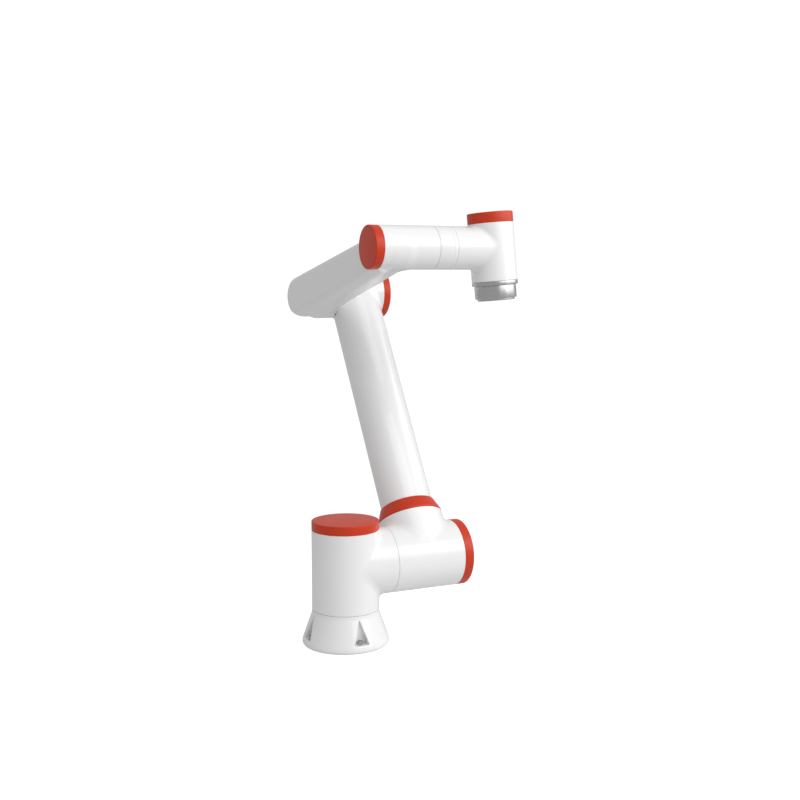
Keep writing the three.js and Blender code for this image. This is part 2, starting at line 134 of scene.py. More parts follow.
VIEW_TURN = math.radians(25.32)     # the view direction, turned from +Y towards +X
VIEW_DOWN = math.radians(6.2)
CAMERA_BACK = 1.924
CAMERA_SIDE = 0.092
CAMERA_HEIGHT = 0.6224
LENS = 52.38

ahead = Vector((math.sin(VIEW_TURN), math.cos(VIEW_TURN), 0))
aside = Vector((math.cos(VIEW_TURN), -math.sin(VIEW_TURN), 0))
camera = bpy.data.objects.new("camera", bpy.data.cameras.new("camera"))
camera.data.lens = LENS
camera.data.sensor_width = 36
camera.data.clip_end = 60
camera.location = -CAMERA_BACK * ahead + CAMERA_SIDE * aside + Vector((0, 0, CAMERA_HEIGHT))
look = ahead * math.cos(VIEW_DOWN) - Vector((0, 0, math.sin(VIEW_DOWN)))
camera.rotation_euler = look.to_track_quat("-Z", "Y").to_euler()
bpy.context.scene.collection.objects.link(camera)
bpy.context.scene.camera = camera

# ---- distance fields -----------------------------------------------------------------------------
# A field takes points (n, 3) and gives each one's distance outside the shape and the direction it grows in.


def barrel(origin, axis, radius):
    """A round bar without ends."""
    origin, axis = np.array(origin, float), np.array(axis, float)

    def field(p):
        q = p - origin
        q = q - np.outer(q @ axis, axis)
        r = np.maximum(np.linalg.norm(q, axis=1), 1e-9)
        return r - radius, q / r[:, None]
    return field


def side_of(origin, normal):
    """Everything behind a plane."""
    origin, normal = np.array(origin, float), np.array(normal, float)
    normal = normal / np.linalg.norm(normal)

    def field(p):
        return (p - origin) @ normal, np.broadcast_to(normal, p.shape)
    return field


SHARPEST = 90 * MM    # the largest radius that a fillet widens to where two surfaces nearly run together


def rolled(a, b, ga, gb, width):
    """The lower of two distances, with the inside corner filled by a ball that touches both surfaces.

    The ball is larger where the corner is blunt, so that the fillet keeps about the same width."""
    c = np.clip(np.sum(ga * gb, axis=1), -0.98, 0.9999)
    r = np.minimum(np.maximum(width, 1e-7) / np.sqrt((1 - c) / (1 + c)), SHARPEST)
    u, v = r - a, r - b
    s = 1 - c * c
    h = np.sqrt(np.maximum((u * u + v * v - 2 * c * u * v) / s, 1e-16))
    both = (u - c * v > 0) & (v - c * u > 0)
    mixed = ((u - c * v) / (s * h))[:, None] * ga + ((v - c * u) / (s * h))[:, None] * gb
    lower = np.where((a < b)[:, None], ga, gb)
    d = np.where(both, np.minimum(r - h, np.minimum(a, b)), np.minimum(a, b))
    return d, np.where(both[:, None], mixed, lower)


def joined(first, second, width, room=None):
    """Two shapes as one, with a fillet. room(p), if given, is the width that there is space for."""
    def field(p):
        a, ga = first(p)
        b, gb = second(p)
        w = np.full(len(p), width)
        if room is not None:
            w = np.minimum(w, np.maximum(room(p), 0))
        return rolled(a, b, ga, gb, w)
    return field


def common(first, second, radius):
    """What two shapes share, with its edge rounded."""
    def field(p):
        a, ga = first(p)
        b, gb = second(p)
        d, g = rolled(-a, -b, -ga, -gb, np.full(len(p), radius))
        return -d, -g
    return field


def without(first, second, radius):
    """The first shape less the second, with the edge rounded."""
    def field(p):
        a, ga = first(p)
        b, gb = second(p)
        d, g = rolled(-a, b, -ga, gb, np.full(len(p), radius))
        return -d, -g
    return field


# ---- meshes from fields --------------------------------------------------------------------------


def surface_net(field, low, high, cell):
    """Vertices and quads of a mesh on the field's surface, inside the box from low to high."""
    count = np.ceil((high - low) / cell).astype(int) + 1
    axes = [low[i] + cell * np.arange(count[i]) for i in range(3)]
    grid = np.stack(np.meshgrid(*axes, indexing="ij"), -1)
    d = field(grid.reshape(-1, 3))[0].reshape(count)
    cells = count - 1
    total = np.zeros((*cells, 3))
    hits = np.zeros(cells)
    crossings = []
    for axis in range(3):
        near = [slice(None)] * 3
        far = [slice(None)] * 3
        near[axis], far[axis] = slice(0, -1), slice(1, None)
        a, b = d[tuple(near)], d[tuple(far)]
        cut = (a < 0) != (b < 0)
        at = np.argwhere(cut)
        t = a[cut] / (a[cut] - b[cut])
        point = low + cell * at
        point[:, axis] += cell * t
        others = [i for i in range(3) if i != axis]
        for du in (0, 1):
            for dv in (0, 1):
                home = at.copy()
                home[:, others[0]] -= du
                home[:, others[1]] -= dv
                ok = np.all((home >= 0) & (home < cells), axis=1)
                key = tuple(home[ok].T)
                np.add.at(total, key, point[ok])
                np.add.at(hits, key, 1)
        crossings.append((axis, others, at, a[cut] < 0))
    used = hits > 0
    number = np.full(cells, -1)
    number[used] = np.arange(used.sum())
    vertices = total[used] / hits[used][:, None]
    quads = []
    for axis, others, at, leaving in crossings:
        inner = np.all((at[:, others] > 0) & (at[:, others] < cells[others]), axis=1)
        at, leaving = at[inner], leaving[inner]
        ring = []
        for du, dv in ((1, 1), (0, 1), (0, 0), (1, 0)):
            home = at.copy()
            home[:, others[0]] -= du
            home[:, others[1]] -= dv
            ring.append(number[tuple(home.T)])
        quad = np.stack(ring, 1)
        flip = leaving if axis == 1 else ~leaving
        quad[flip] = quad[flip][:, ::-1]
        quads.append(quad)
    return vertices, np.concatenate(quads)


def settle(field, vertices, quads, rounds=6, pull=0.5):
    """Evens the mesh out along the surface, and puts every vertex on it."""
    ends = np.concatenate([quads[:, [0, 1]], quads[:, [1, 2]], quads[:, [2, 3]], quads[:, [3, 0]]])
    ends = np.concatenate([ends, ends[:, ::-1]])
    weight = np.bincount(ends[:, 0], minlength=len(vertices)).astype(float)
    weight[weight == 0] = 1
    v = vertices
    for step in range(rounds + 3):
        if step < rounds:
            mean = np.stack([np.bincount(ends[:, 0], v[ends[:, 1], i], len(v)) for i in range(3)], 1)
            v = v + pull * (mean / weight[:, None] - v)
        d, g = field(v)
        v = v - (d / np.maximum(np.sum(g * g, axis=1), 0.25))[:, None] * g
    return v


def loops_of(edges):
    """Boundary edges as closed lists of vertices in order."""
    links = {}
    for edge in edges:
        a, b = edge.verts
        links.setdefault(a, []).append(b)
        links.setdefault(b, []).append(a)
    loops = []
    while links:
        start = next(iter(links))
        loop = [start]
        previous, here = None, start
        while True:
            onward = [v for v in links[here] if v is not previous]
            previous, here = here, onward[0]
            if here is start:
                break
            loop.append(here)
        for v in loop:
            del links[v]
        loops.append(loop)
    return loops


LIP_STEPS = 3


def finish_end(bm, mark, field, end):
    """Trims the skin at one end and closes it: a rounded lip, then a flat face or a shallow recess."""
    origin, normal, radius, depth, lip = end
    trim = origin - lip * normal

    def nearby(p):
        q = p - origin
        return (q - q.dot(normal) * normal).length < radius * 1.35 and q.dot(normal) > -0.012

    verts = [v for v in bm.verts if nearby(v.co)]
    chosen = set(verts)
    edges = [e for e in bm.edges if e.verts[0] in chosen and e.verts[1] in chosen]
    faces = [f for f in bm.faces if all(v in chosen for v in f.verts)]
    bmesh.ops.bisect_plane(bm, geom=verts + edges + faces, plane_co=trim, plane_no=normal, clear_outer=True)

    def on_trim(edge):
        return edge.is_boundary and all(abs((v.co - trim).dot(normal)) < 1e-6 for v in edge.verts)

    rim = [e for e in bm.edges if on_trim(e)]
    n = np.array(normal)
    for loop in loops_of(rim):
        at = np.array([v.co for v in loop])
        for _ in range(3):
            d, g = field(at)
            flat = g - np.outer(g @ n, n)
            at = at - (d / np.maximum(np.sum(flat * flat, axis=1), 0.25))[:, None] * flat
        for v, p in zip(loop, at):
            v.co = p
        outward = field(at)[1]
        outward = outward - np.outer(outward @ n, n)
        outward /= np.linalg.norm(outward, axis=1)[:, None]
        rings = []
        for i in range(1, LIP_STEPS + 1):
            turn = math.pi / 2 * i / LIP_STEPS
            rings.append(at + n * lip * math.sin(turn) - outward * lip * (1 - math.cos(turn)))
        if depth:
            wall = at - outward * WALL + n * lip
            rings += [wall + outward * 0.4 * MM, wall - n * 0.4 * MM, wall - n * depth]
        previous = loop
        for ring in rings:
            fresh = [bm.verts.new(p) for p in ring]
            for i in range(len(loop)):
                j = (i + 1) % len(loop)
                face = bm.faces.new((previous[i], previous[j], fresh[j], fresh[i]))
                face[mark] = 1
            previous = fresh
        bm.faces.new(previous)[mark] = 1


def skin(name, field, low, high, cell, ends, place, material):
    """A closed casting: the field's surface in a box, with its ends trimmed and closed."""
    low, high = np.array(low, float), np.array(high, float)
    vertices, quads = surface_net(field, low, high, cell)
    vertices = settle(field, vertices, quads)
    mesh = bpy.data.meshes.new(name)
    mesh.from_pydata(vertices.tolist(), [], quads.tolist())
    bm = bmesh.new()
    bm.from_mesh(mesh)
    mark = bm.faces.layers.int.new("end")
    for end in ends:
        finish_end(bm, mark, field, end)
    loose = [v for v in bm.verts if not v.link_faces]
    bmesh.ops.delete(bm, geom=loose, context="VERTS")
    bmesh.ops.recalc_face_normals(bm, faces=bm.faces)
    open_edges = sum(1 for e in bm.edges if not e.is_manifold)
    if open_edges:
        print("WARNING", name, "open edges:", open_edges)
    bm.normal_update()
    bm.to_mesh(mesh)
    bm.free()
    mesh.shade_smooth()
    mesh.set_sharp_from_angle(angle=math.radians(35))
    count = len(mesh.vertices)
    at = np.empty(count * 3)
    mesh.vertices.foreach_get("co", at)
    normal = field(at.reshape(-1, 3))[1]
    normal = normal / np.maximum(np.linalg.norm(normal, axis=1), 1e-9)[:, None]
    is_end = np.empty(len(mesh.polygons), int)
    mesh.attributes["end"].data.foreach_get("value", is_end)
    sides = np.empty(len(mesh.polygons), int)
    mesh.polygons.foreach_get("loop_total", sides)
    corner = np.empty(len(mesh.loops), int)
    mesh.loops.foreach_get("vertex_index", corner)
    on_skin = np.repeat(is_end, sides) == 0
    custom = np.where(on_skin[:, None], normal[corner], 0)
    mesh.normals_split_custom_set(custom.tolist())
    mesh.attributes.remove(mesh.attributes["end"])
    mesh.transform(place)
    return add_piece(name, mesh, material)


def add_piece(name, mesh, material):
    piece = bpy.data.objects.new(name, mesh)
    mesh.materials.clear()
    mesh.materials.append(MATERIALS[material][0])
    bpy.context.scene.collection.objects.link(piece)
    return piece


def turned(name, profile, place, material, facets=128):
    """A closed piece turned about Z from (radius, height) pairs, which end on the axis or close up."""
    bm = bmesh.new()
    closed = profile[0] == profile[-1]
    points = profile[:-1] if closed else profile
    rings = []
    for r, z in points:
        if r < 1e-9:
            rings.append([bm.verts.new((0, 0, z))])
        else:
            turns = [2 * math.pi * i / facets for i in range(facets)]
            rings.append([bm.verts.new((r * math.cos(t), r * math.sin(t), z)) for t in turns])
    pairs = list(zip(rings, rings[1:])) + ([(rings[-1], rings[0])] if closed else [])
    for a, b in pairs:
        for i in range(facets):
            j = (i + 1) % facets
            ring = [a[i % len(a)], a[j % len(a)], b[j % len(b)], b[i % len(b)]]
            bm.faces.new(list(dict.fromkeys(ring)))
    bmesh.ops.recalc_face_normals(bm, faces=bm.faces)
    mesh = bpy.data.meshes.new(name)
    bm.to_mesh(mesh)
    bm.free()
    mesh.shade_smooth()
    mesh.set_sharp_from_angle(angle=math.radians(32))
    mesh.transform(place)
    return add_piece(name, mesh, material)


def rounded(corners, steps=4):
    """A profile whose corners are rounded: each corner is (radius, height, rounding)."""
    points = []
    for i, (r, z, fillet) in enumerate(corners):
        if not fillet:
            points.append((r, z))
            continue
        here = Vector((r, z))
        before = Vector(corners[i - 1][:2])
        after = Vector(corners[i + 1][:2])
        to_before = (before - here).normalized()
        to_after = (after - here).normalized()
        half = to_before.angle(to_after) / 2
        reach = fillet / math.tan(half)
        middle = here + (to_before + to_after).normalized() * fillet / math.sin(half)
        start = here + to_before * reach - middle
        stop = here + to_after * reach - middle
        swing = start.angle_signed(stop)
        for k in range(steps + 1):
            t = -swing * k / steps
            turn = Matrix.Rotation(t, 2)
            points.append(tuple(middle + turn @ start))
    return points


# ---- materials -----------------------------------------------------------------------------------


class Nodes:
    """A short way to lay out one node material."""

    def __init__(self, name):
        self.material = bpy.data.materials.new(name)
        self.material.use_nodes = True
        self.tree = self.material.node_tree
        self.shader = self.tree.nodes["Principled BSDF"]
        self.place = self.add("ShaderNodeTexCoord").outputs["Object"]

    def add(self, kind, **settings):
        node = self.tree.nodes.new(kind)
        for key, value in settings.items():
            setattr(node, key, value)
        return node

    def link(self, source, target):
        self.tree.links.new(source, target)

    def noise(self, scale, detail=2, roughness=0.5):
        node = self.add("ShaderNodeTexNoise")
        node.inputs["Scale"].default_value = scale
        node.inputs["Detail"].default_value = detail
        node.inputs["Roughness"].default_value = roughness
        self.link(self.place, node.inputs["Vector"])
        return node.outputs["Fac"]

    def spread(self, value, low, high):
        node = self.add("ShaderNodeMapRange")
        node.inputs["From Min"].default_value = 0.3
        node.inputs["From Max"].default_value = 0.7
        node.inputs["To Min"].default_value = low
        node.inputs["To Max"].default_value = high
        self.link(value, node.inputs["Value"])
        return node.outputs["Result"]

    def colour(self, value, low, high):
        node = self.add("ShaderNodeMix", data_type="RGBA")
        node.inputs[6].default_value = (*low, 1)
        node.inputs[7].default_value = (*high, 1)
        self.link(value, node.inputs[0])
        self.link(node.outputs[2], self.shader.inputs["Base Color"])

    def rough(self, value, low, high):
        self.link(self.spread(value, low, high), self.shader.inputs["Roughness"])

    def bump(self, height, strength, distance):
        node = self.add("ShaderNodeBump")
        node.inputs["Strength"].default_value = strength
        node.inputs["Distance"].default_value = distance
        self.link(height, node.inputs["Height"])
        self.link(node.outputs["Normal"], self.shader.inputs["Normal"])


def white_paint():
    """Satin-gloss white paint with a very fine orange peel."""
    m = Nodes("white_paint")
    m.colour(m.noise(7), (0.845, 0.845, 0.85), (0.86, 0.86, 0.865))
    m.rough(m.noise(20, 3), 0.20, 0.23)
    m.bump(m.noise(1100, 2), 0.015, 0.0003)
    m.shader.inputs["Coat Weight"].default_value = 0.4
    m.shader.inputs["Coat Roughness"].default_value = 0.07
    return m.material


def orange_plastic():
    """Moulded orange-red cap with a fine spark grain."""
    m = Nodes("orange_plastic")
    m.colour(m.noise(14), (0.56, 0.037, 0.008), (0.59, 0.041, 0.0095))
    m.shader.inputs["Specular IOR Level"].default_value = 0.32
    m.rough(m.noise(40, 3), 0.34, 0.39)
    m.bump(m.noise(1600, 3), 0.04, 0.0003)
    return m.material


def metal(name, dark, light, low, high, grain=700):
    m = Nodes(name)
    m.colour(m.noise(30, 3), dark, light)
    m.rough(m.noise(120, 4), low, high)
    m.bump(m.noise(grain, 3), 0.08, 0.0002)
    m.shader.inputs["Metallic"].default_value = 1.0
    return m.material


def plain(name, dark, light, low, high, grain=500, metallic=0.0):
    m = Nodes(name)
    m.colour(m.noise(80, 3), dark, light)
    m.rough(m.noise(200, 2), low, high)
    m.bump(m.noise(grain, 2), 0.1, 0.0003)
    m.shader.inputs["Metallic"].default_value = metallic
    return m.material


MATERIALS = {
    "white": (white_paint(), "white_shell"),
    "silver": (metal("turned_aluminium", (0.50, 0.50, 0.51), (0.53, 0.53, 0.54), 0.26, 0.30),
               "flange_metal"),
    "steel": (metal("machined_steel", (0.36, 0.37, 0.39), (0.46, 0.47, 0.49), 0.28, 0.42), "steel"),
    "copper": (plain("motor_windings", (0.40, 0.14, 0.05), (0.55, 0.22, 0.08), 0.3, 0.5, 1500, 0.7),
               "copper"),
    "board": (plain("board_green", (0.01, 0.09, 0.04), (0.02, 0.14, 0.06), 0.3, 0.5), "circuit_board"),
    # painted shade: a darkened copy of the orange cap colour, for the small disc that stands in for a notch in a
    # cap's edge
    "pin": (plain("cap_pin", (0.20, 0.012, 0.005), (0.24, 0.016, 0.007), 0.4, 0.5), "orange_shell"),
    "seal": (plain("grey_seal", (0.30, 0.30, 0.30), (0.34, 0.34, 0.34), 0.5, 0.6), "rubber"),
    "orange": (orange_plastic(), "orange_shell"),
    "rubber": (plain("black_rubber", (0.02, 0.02, 0.021), (0.035, 0.035, 0.037), 0.6, 0.8), "rubber"),
}
# Where two materials share a slot, the CAD's own nodes get the later one.
BY_SLOT = {slot: material for material, slot in MATERIALS.values()}
for part in frame["record"]["subparts"]:
    node = frame["nodes"][part["node"]]
    for slot in node.material_slots:
        slot.material = BY_SLOT[part["material_slot"]]


def show(piece, body, *nodes):
    """Puts a piece on its body, in place of the CAD nodes it stands for."""
    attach(piece, body)
    if nodes:
        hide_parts(*nodes)


# ---- castings ------------------------------------------------------------------------------------

X, Z = Vector((1, 0, 0)), Vector((0, 0, 1))
FILLET = 8 * MM
FLAT, DRIVE, CAP = 0, 9.7 * MM, 5 * MM    # an end's depth: closed flat, a drive's mouth, a cap's seat
CELL = 2.5 * MM

BASE_NECK_Z = 55 * MM
BASE_RIM_Z = 8 * MM
POCKET_BACK = 55 * MM            # distance of a screw pocket's back wall from the axis
POCKET_FLOOR_Z = 13 * MM
POCKET_HALF = 13 * MM            # half the pocket's width at its floor
POCKET_TILT = math.atan2(11.5, 35)
POCKET_CORNER = 1.5 * MM


def base_field():
    neck = barrel((0, 0, 0), Z, BIG)
    slope = np.array([BASE_NECK_Z - BASE_RIM_Z, BASE - BIG])
    slope = slope / np.linalg.norm(slope)

    def flare(p):
        r = np.maximum(np.hypot(p[:, 0], p[:, 1]), 1e-9)
        d = (r - BIG) * slope[0] + (p[:, 2] - BASE_NECK_Z) * slope[1]
        g = np.stack([p[:, 0] / r * slope[0], p[:, 1] / r * slope[0], np.full(len(p), slope[1])], 1)
        return d, g

    bell = common(flare, barrel((0, 0, 0), Z, BASE), 3 * MM)
    shape = joined(neck, bell, 3 * MM)
    shape = common(shape, side_of((0, 0, 0), (0, 0, -1)), 5 * MM)
    for i in range(4):
        turn = Matrix.Rotation(i * math.pi / 2, 3, "Z")
        pocket = side_of(turn @ Vector((0, 0, POCKET_FLOOR_Z)), (0, 0, -1))
        for way in (-1, 1):
            foot = turn @ Vector((way * POCKET_HALF, 0, POCKET_FLOOR_Z))
            wall = turn @ Vector((way * math.cos(POCKET_TILT), 0, math.sin(POCKET_TILT)))
            pocket = common(pocket, side_of(foot, wall), POCKET_CORNER)
        back = side_of(turn @ Vector((0, -POCKET_BACK, 0)), turn @ Vector((0, 1, 0)))
        shape = without(shape, common(pocket, back, POCKET_CORNER), 1.2 * MM)
    return shape


def base_casting():
    rim = BASE + 4 * MM
    ends = [
        (Vector((0, 0, BASE_SEAM_Z - SEAM)), Z, BIG, FLAT, LIP),
        (Vector((0, 0, 0.2 * MM)), -Z, BASE, FLAT, FINE_LIP),
    ]
    low, high = (-rim, -rim, -4 * MM), (rim, rim, BASE_SEAM_Z + 3 * MM)
    return skin("base_casting_skin", base_field(), low, high, 1.4 * MM, ends, ROW, "white")


def shoulder_housing():
    post = barrel((0, 0, 0), Z, BIG)
    branch = common(barrel((0, 0, SHOULDER_AXIS_Z), X, BIG), side_of((0, 0, 0), (-1, 0, 0)), 0)

    def room(p):
        return p[:, 0]
    ends = [
        (Vector((0, 0, BASE_SEAM_Z)), -Z, BIG, DRIVE, LIP),
        (Vector((0, 0, SHOULDER_TOP_Z)), Z, BIG, CAP, LIP),
        (Vector((SHOULDER_SEAM_X - SEAM, 0, SHOULDER_AXIS_Z)), X, BIG, FLAT, LIP),
    ]
    side = BIG + 8 * MM
    low = (-side, -side, BASE_SEAM_Z - 4 * MM)
    high = (SHOULDER_SEAM_X + 3 * MM, side, SHOULDER_TOP_Z + 4 * MM)
    shape = joined(post, branch, FILLET, room)
    return skin("shoulder_housing_skin", shape, low, high, CELL, ends, ROW, "white")


NECK_TOP = 68.7 * MM              # where the lower arm's neck, ring and tube meet
RING_START = 69 * MM
RING_TOP = 93 * MM


def lower_arm_housing():
    body = barrel((0, 0, 0), X, BIG)
    neck = common(barrel((ARM_X, 0, 0), Z, BIG), side_of((0, 0, 0), (0, 0, -1)), 0)

    def room(p):
        ends = np.minimum(p[:, 0] - SHOULDER_SEAM_X, SHOULDER_CAP_X - p[:, 0])
        return np.minimum(0.8 * ends, p[:, 2])
    ends = [
        (Vector((SHOULDER_SEAM_X, 0, 0)), -X, BIG, DRIVE, LIP),
        (Vector((SHOULDER_CAP_X, 0, 0)), X, BIG, CAP, LIP),
        (Vector((ARM_X, 0, NECK_TOP)), Z, BIG, FLAT, LIP),
    ]
    side = BIG + 8 * MM
    low = (SHOULDER_SEAM_X - 4 * MM, -side, -side)
    high = (SHOULDER_CAP_X + 4 * MM, side, NECK_TOP + 4 * MM)
    shape = joined(body, neck, FILLET, room)
    return skin("lower_arm_housing_skin", shape, low, high, CELL, ends, LOWER, "white")


def lower_arm_tube():
    tube = common(barrel((ARM_X, 0, 0), Z, TUBE), side_of((0, 0, ARM_LENGTH), (0, 0, 1)), 0)
    head = barrel((0, 0, ARM_LENGTH), X, ELBOW)

    def room(p):
        ends = np.minimum(p[:, 0] - ELBOW_SEAM_X, ELBOW_CAP_X - p[:, 0])
        return np.minimum(0.8 * ends, ARM_LENGTH - p[:, 2])
    ends = [
        (Vector((ARM_X, 0, RING_START)), -Z, TUBE, FLAT, LIP),
        (Vector((ELBOW_SEAM_X, 0, ARM_LENGTH)), -X, ELBOW, DRIVE, FINE_LIP),
        (Vector((ELBOW_CAP_X, 0, ARM_LENGTH)), X, ELBOW, CAP, FINE_LIP),
    ]
    low = (ELBOW_SEAM_X - 4 * MM, -ELBOW - 6 * MM, RING_START - 4 * MM)
    high = (ELBOW_CAP_X + 4 * MM, ELBOW + 6 * MM, ARM_LENGTH + ELBOW + 4 * MM)
    shape = joined(tube, head, FILLET, room)
    return skin("lower_arm_tube_skin", shape, low, high, CELL, ends, LOWER, "white")


BLADE_ELBOW = 38.5 * MM
BLADE_WRIST = 33.5 * MM
ELBOW_DROP = 4.5 * MM     # how far the blade's middle lies under the elbow's and the wrist's axis
WRIST_DROP = 2.5 * MM


def blade_outline(p):
    """The blade's outline seen along X: a long shape with round ends, tapering from elbow to wrist."""
    start = np.array([-ELBOW_DROP, 0])
    run = np.array([-WRIST_DROP, FOREARM_LENGTH]) - start
    length = np.linalg.norm(run)
    run = run / length
    across = np.array([run[1], -run[0]])
    q = p[:, 1:] - start
    y, z = q @ across, q @ run
    side = np.where(y < 0, -1.0, 1.0)
    y = np.abs(y)
    b = (BLADE_ELBOW - BLADE_WRIST) / length
    a = math.sqrt(1 - b * b)
    k = -b * y + a * z
    near = np.maximum(np.hypot(y, z), 1e-9)
    far = np.maximum(np.hypot(y, z - length), 1e-9)
    at_elbow, at_wrist = k < 0, k > a * length
    beside = np.where(at_wrist, far - BLADE_WRIST, a * y + b * z - BLADE_ELBOW)
    d = np.where(at_elbow, near - BLADE_ELBOW, beside)
    gy = side * np.where(at_elbow, y / near, np.where(at_wrist, y / far, a))
    gz = np.where(at_elbow, z / near, np.where(at_wrist, (z - length) / far, b))
    grow = np.outer(gy, across) + np.outer(gz, run)
    return d, np.concatenate([np.zeros((len(p), 1)), grow], 1)


def slowly(shape, rate):
    """The same shape with its distance scaled, so that a rounding on its edge reaches further in."""
    def field(p):
        d, g = shape(p)
        return rate * d, rate * g
    return field


def forearm_casting():
    face_x, back_x = 17 * MM, 88 * MM
    drum_x, web_x = 46 * MM, ELBOW_SEAM_X - SEAM
    face_rise = (WRIST_CAP_X + 1.4 * MM - face_x) / (FOREARM_LENGTH - 1.35 * SMALL)
    front = slowly(side_of((face_x, 0, 0), (-1, 0, face_rise)), 0.6)

    def room(p):
        return 0.8 * (p[:, 0] - WRIST_CAP_X)
    blade = common(blade_outline, front, 14 * MM)
    blade = common(blade, side_of((back_x, 0, 0), (1, 0, 0)), 14 * MM)
    drum = common(barrel((0, 0, 0), X, ELBOW), side_of((drum_x, 0, 0), (-1, 0, 0)), 18 * MM)
    pipe = common(barrel((0, 0, FOREARM_LENGTH), X, SMALL),
                  side_of((WRIST_CAP_X - 4 * MM, 0, 0), (-1, 0, 0)), 0)
    shape = joined(joined(blade, drum, 6 * MM), pipe, 14 * MM, room)
    ends = [
        (Vector((web_x, 0, 0)), X, ELBOW, FLAT, LIP),
        (Vector((WRIST_CAP_X, 0, FOREARM_LENGTH)), -X, SMALL, CAP, LIP),
        (Vector((WRIST_SEAM_X, 0, FOREARM_LENGTH)), X, SMALL, DRIVE, LIP),
    ]
    low = (face_x - 6 * MM, -ELBOW - 6 * MM, -ELBOW - 6 * MM)
    high = (WRIST_SEAM_X + 4 * MM, ELBOW + 6 * MM, FOREARM_LENGTH + SMALL + 6 * MM)
    return skin("forearm_casting_skin", shape, low, high, CELL, ends, FOREARM, "white")


COLLAR_X = 165 * MM
WRIST_FILLET = 6 * MM


def wrist_housing():
    middle = Vector((WRIST_X, 0, 0))
    up = Vector((math.sin(POST_TILT), 0, math.cos(POST_TILT)))
    post = barrel(middle, up, WRIST)
    branch = common(barrel((0, 0, 0), X, SMALL), side_of(middle, X), 0)

    def room(p):
        height = (p - np.array(middle)) @ np.array(up)
        ends = np.minimum(WRIST_TOP - height, height - WRIST_BOTTOM)
        return np.minimum(ends, WRIST_X - p[:, 0])
    ends = [
        (Vector((COLLAR_X + 0.4 * MM, 0, 0)), -X, SMALL, FLAT, LIP),
        (middle + up * WRIST_TOP, up, WRIST, CAP, LIP),
        (middle + up * WRIST_BOTTOM, -up, WRIST, DRIVE, LIP),
    ]
    low = (COLLAR_X - 4 * MM, -WRIST - 6 * MM, WRIST_BOTTOM - 8 * MM)
    high = (WRIST_X + WRIST + 12 * MM, WRIST + 6 * MM, WRIST_TOP + 8 * MM)
    shape = joined(post, branch, WRIST_FILLET, room)
    return skin("wrist_housing_skin", shape, low, high, 2 * MM, ends, WRIST_PLACE, "white")


def wrist_collar():
    """The short white collar between the wrist seam and the housing, with a fine ring line."""
    start, stop = WRIST_SEAM_X + SEAM, COLLAR_X
    line = stop - 6 * MM
    r = SMALL
    profile = rounded([
        (0, start, 0), (r, start, LIP), (r, line - 0.35 * MM, 0), (r - 0.35 * MM, line, 0),
        (r, line + 0.35 * MM, 0), (r, stop, 0.5 * MM), (0, stop, 0),
    ])
    place = WRIST_PLACE @ Matrix.Rotation(math.pi / 2, 4, "Y")
    return turned("wrist_collar", profile, place, "white")


piece = base_casting()
show(piece, "base", "base_casting")
piece = shoulder_housing()
show(piece, "shoulder", "shoulder_housing")
piece = lower_arm_housing()
show(piece, "lower_arm", "lower_arm_housing")
piece = lower_arm_tube()
show(piece, "lower_arm", "lower_arm_tube")
piece = forearm_casting()
show(piece, "forearm", "forearm_casting")
piece = wrist_housing()
show(piece, "wrist", "wrist_housing")
show(wrist_collar(), "wrist")

# ---- seals ---------------------------------------------------------------------------------------

SEAL_CLEAR = 0.05 * MM


def seal(name, radius, place, body):
    """The thin grey seal in the line between two housings, which lies just below the place's z = 0."""
    low, high = SEAL_CLEAR - SEAM, -SEAL_CLEAR
    outer, inner = radius - 0.45 * MM, radius - 3 * MM
    profile = [(inner, low), (outer, low), (outer, high), (inner, high), (inner, low)]
    show(turned(name + "_skin", profile, place, "seal", 160), body, name)


X_TURN = Matrix.Rotation(math.pi / 2, 4, "Y")
seal("base_drive_seal", BIG, Matrix.Translation((0, 0, BASE_SEAM_Z)), "shoulder")
seal("shoulder_drive_seal", BIG, LOWER @ Matrix.Translation((SHOULDER_SEAM_X, 0, 0)) @ X_TURN, "lower_arm")
ELBOW_SEAM = LOWER @ Matrix.Translation((ELBOW_SEAM_X, 0, ARM_LENGTH)) @ X_TURN
WRIST_SEAM = FOREARM @ Matrix.Translation((WRIST_SEAM_X, 0, FOREARM_LENGTH)) @ X_TURN.inverted()
seal("elbow_drive_seal", ELBOW, ELBOW_SEAM, "lower_arm")
seal("wrist_drive_seal", SMALL, WRIST_SEAM, "forearm")

# ---- caps and ring -------------------------------------------------------------------------------


def cap(name, radius, thickness, place, body, node):
    """An orange end cap: a flat face with a soft edge, over a spigot that seats in the housing's bore."""
    bore = radius - WALL
    spigot = 4 * MM
    profile = rounded([
        (0, 2 * MM, 0), (bore - 3 * MM, 2 * MM, 0), (bore - 3 * MM, -spigot, 0), (bore - GAP, -spigot, 0),
        (bore - GAP, GAP, 0), (radius, GAP, 0.5 * MM), (radius, thickness, 1.6 * MM), (0, thickness, 0),
    ], 6)
    show(turned(name, profile, place, "orange", 160), body, node)


TOP_CAP_PLACE = Matrix.Translation((0, 0, SHOULDER_TOP_Z))
SIDE_CAP_PLACE = LOWER @ Matrix.Translation((SHOULDER_CAP_X, 0, 0)) @ X_TURN
ELBOW_CAP_PLACE = LOWER @ Matrix.Translation((ELBOW_CAP_X, 0, ARM_LENGTH)) @ X_TURN
FOREARM_CAP_PLACE = FOREARM @ Matrix.Translation((WRIST_CAP_X, 0, FOREARM_LENGTH)) @ X_TURN.inverted()
WRIST_CAP_PLACE = POST @ Matrix.Translation((0, 0, WRIST_TOP))
cap("shoulder_top_cap_skin", BIG, TOP_CAP, TOP_CAP_PLACE, "shoulder", "shoulder_top_cap")
cap("shoulder_side_cap_skin", BIG, SIDE_CAP, SIDE_CAP_PLACE, "lower_arm", "shoulder_side_cap")
cap("elbow_cap_skin", ELBOW, ELBOW_CAP, ELBOW_CAP_PLACE, "lower_arm", "elbow_cap")
